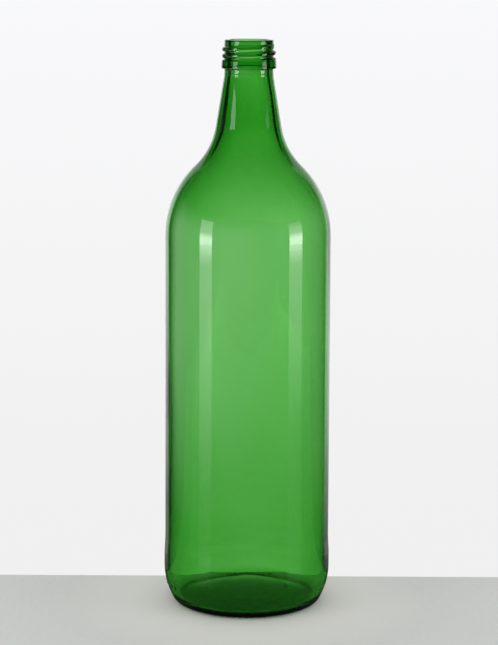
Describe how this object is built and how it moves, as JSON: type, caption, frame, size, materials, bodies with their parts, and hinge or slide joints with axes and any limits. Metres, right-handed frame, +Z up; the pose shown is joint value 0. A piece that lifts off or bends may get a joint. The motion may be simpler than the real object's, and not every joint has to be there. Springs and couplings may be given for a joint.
{
  "type": "glass bottle",
  "caption": "Tall one-litre green glass bottle with a domed shoulder, tapered neck and threaded screw finish, empty and uncapped, for storing or dispensing drinks.",
  "frame": {"origin": "centre of the foot, on the surface the bottle stands on", "axes": "+Z up along the bottle's axis to the mouth; -Y is the front, +X is to the right seen from the front"},
  "size_m": [0.0864, 0.0862, 0.2925],
  "materials": {
    "green_glass": "clear green container glass, fire-polished"
  },
  "bodies": {
    "root": {"bottle": "green_glass"}
  },
  "joints": []
}
